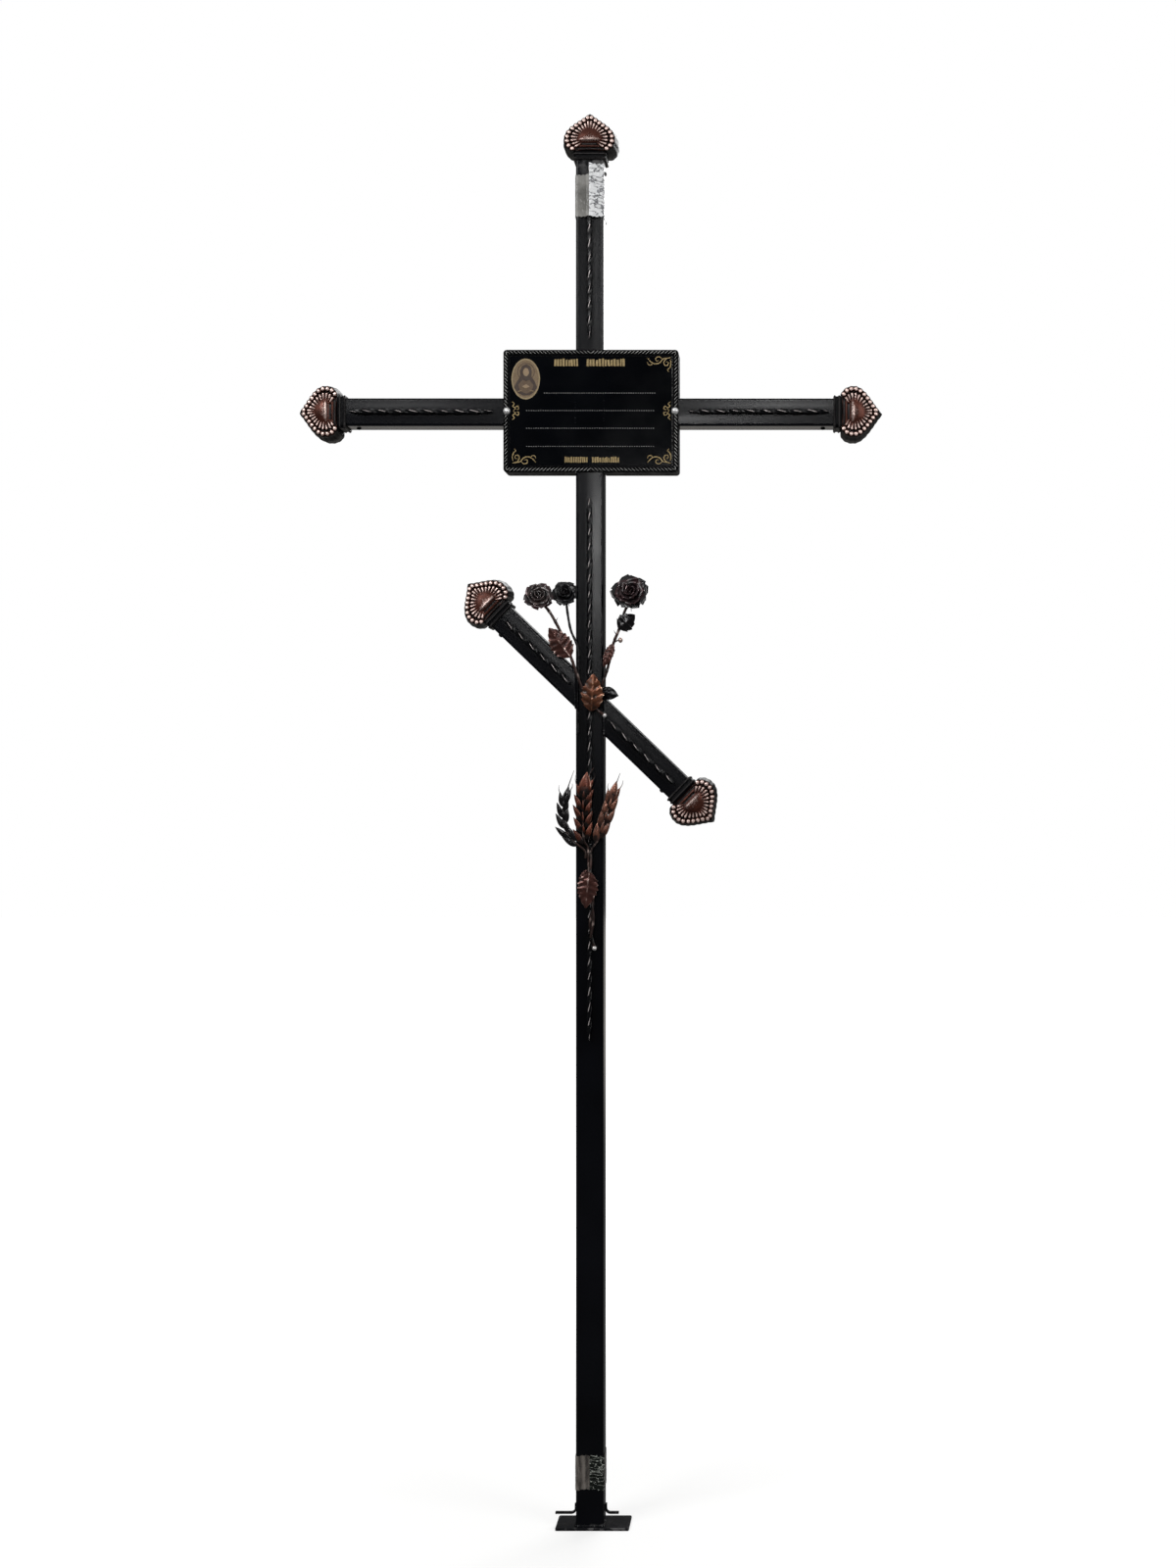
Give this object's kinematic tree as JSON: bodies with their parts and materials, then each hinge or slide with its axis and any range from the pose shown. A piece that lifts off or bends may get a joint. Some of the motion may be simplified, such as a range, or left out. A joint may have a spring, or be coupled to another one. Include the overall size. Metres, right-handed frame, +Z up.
{
  "type": "metal grave cross",
  "caption": "Tall grave marker cross of square steel tube with a slanted lower bar, spade-shaped end caps, name plate, twisted bars, metal roses and wheat ears.",
  "frame": {"origin": "underside of the foot plate, under the axis of the post", "axes": "+Z up the post, -Y the front with the name plate, +X to the right seen from the front"},
  "size_m": [0.8416, 0.0838, 2.0408],
  "materials": {
    "black_paint": "semi-gloss black enamel",
    "copper_paint": "black enamel brushed with copper red on the raised parts",
    "twisted_bars": "black enamel with grey and copper brushed along the edges",
    "bright_steel": "polished",
    "plate_print": "printed ornament in dull gold and grey",
    "clear_film": "clear wrapping film, wrinkled"
  },
  "bodies": {
    "root": {"anchor_left": "black_paint", "anchor_right": "black_paint", "arm_tube_left": "black_paint", "arm_tube_right": "black_paint", "bar_left": "twisted_bars", "bar_post": "twisted_bars", "bar_right": "twisted_bars", "bar_slant_lower": "twisted_bars", "bar_slant_upper": "twisted_bars", "bar_top": "twisted_bars", "cap_left": "copper_paint", "cap_right": "copper_paint", "cap_screw_left": "black_paint", "cap_screw_right": "black_paint", "cap_screw_slant_lower": "black_paint", "cap_screw_slant_upper": "black_paint", "cap_screw_top": "black_paint", "cap_slant_lower": "copper_paint", "cap_slant_upper": "copper_paint", "cap_top": "copper_paint", "ear_centre": "copper_paint", "ear_left": "copper_paint", "ear_right": "copper_paint", "ear_stem_long": "copper_paint", "ear_stem_short": "copper_paint", "foot_plate": "black_paint", "leaf_centre": "copper_paint", "leaf_left": "copper_paint", "leaf_lower": "copper_paint", "leaf_right": "copper_paint", "leaf_round": "black_paint", "leaf_small": "copper_paint", "name_plate": "black_paint", "plate_screw_left": "bright_steel", "plate_screw_right": "bright_steel", "post_tube": "black_paint", "rose_left": "copper_paint", "rose_middle": "black_paint", "rose_right": "copper_paint", "slant_tube_lower": "black_paint", "slant_tube_upper": "black_paint", "stem_left": "copper_paint", "stem_middle": "black_paint", "stem_right": "copper_paint"}
  },
  "joints": []
}
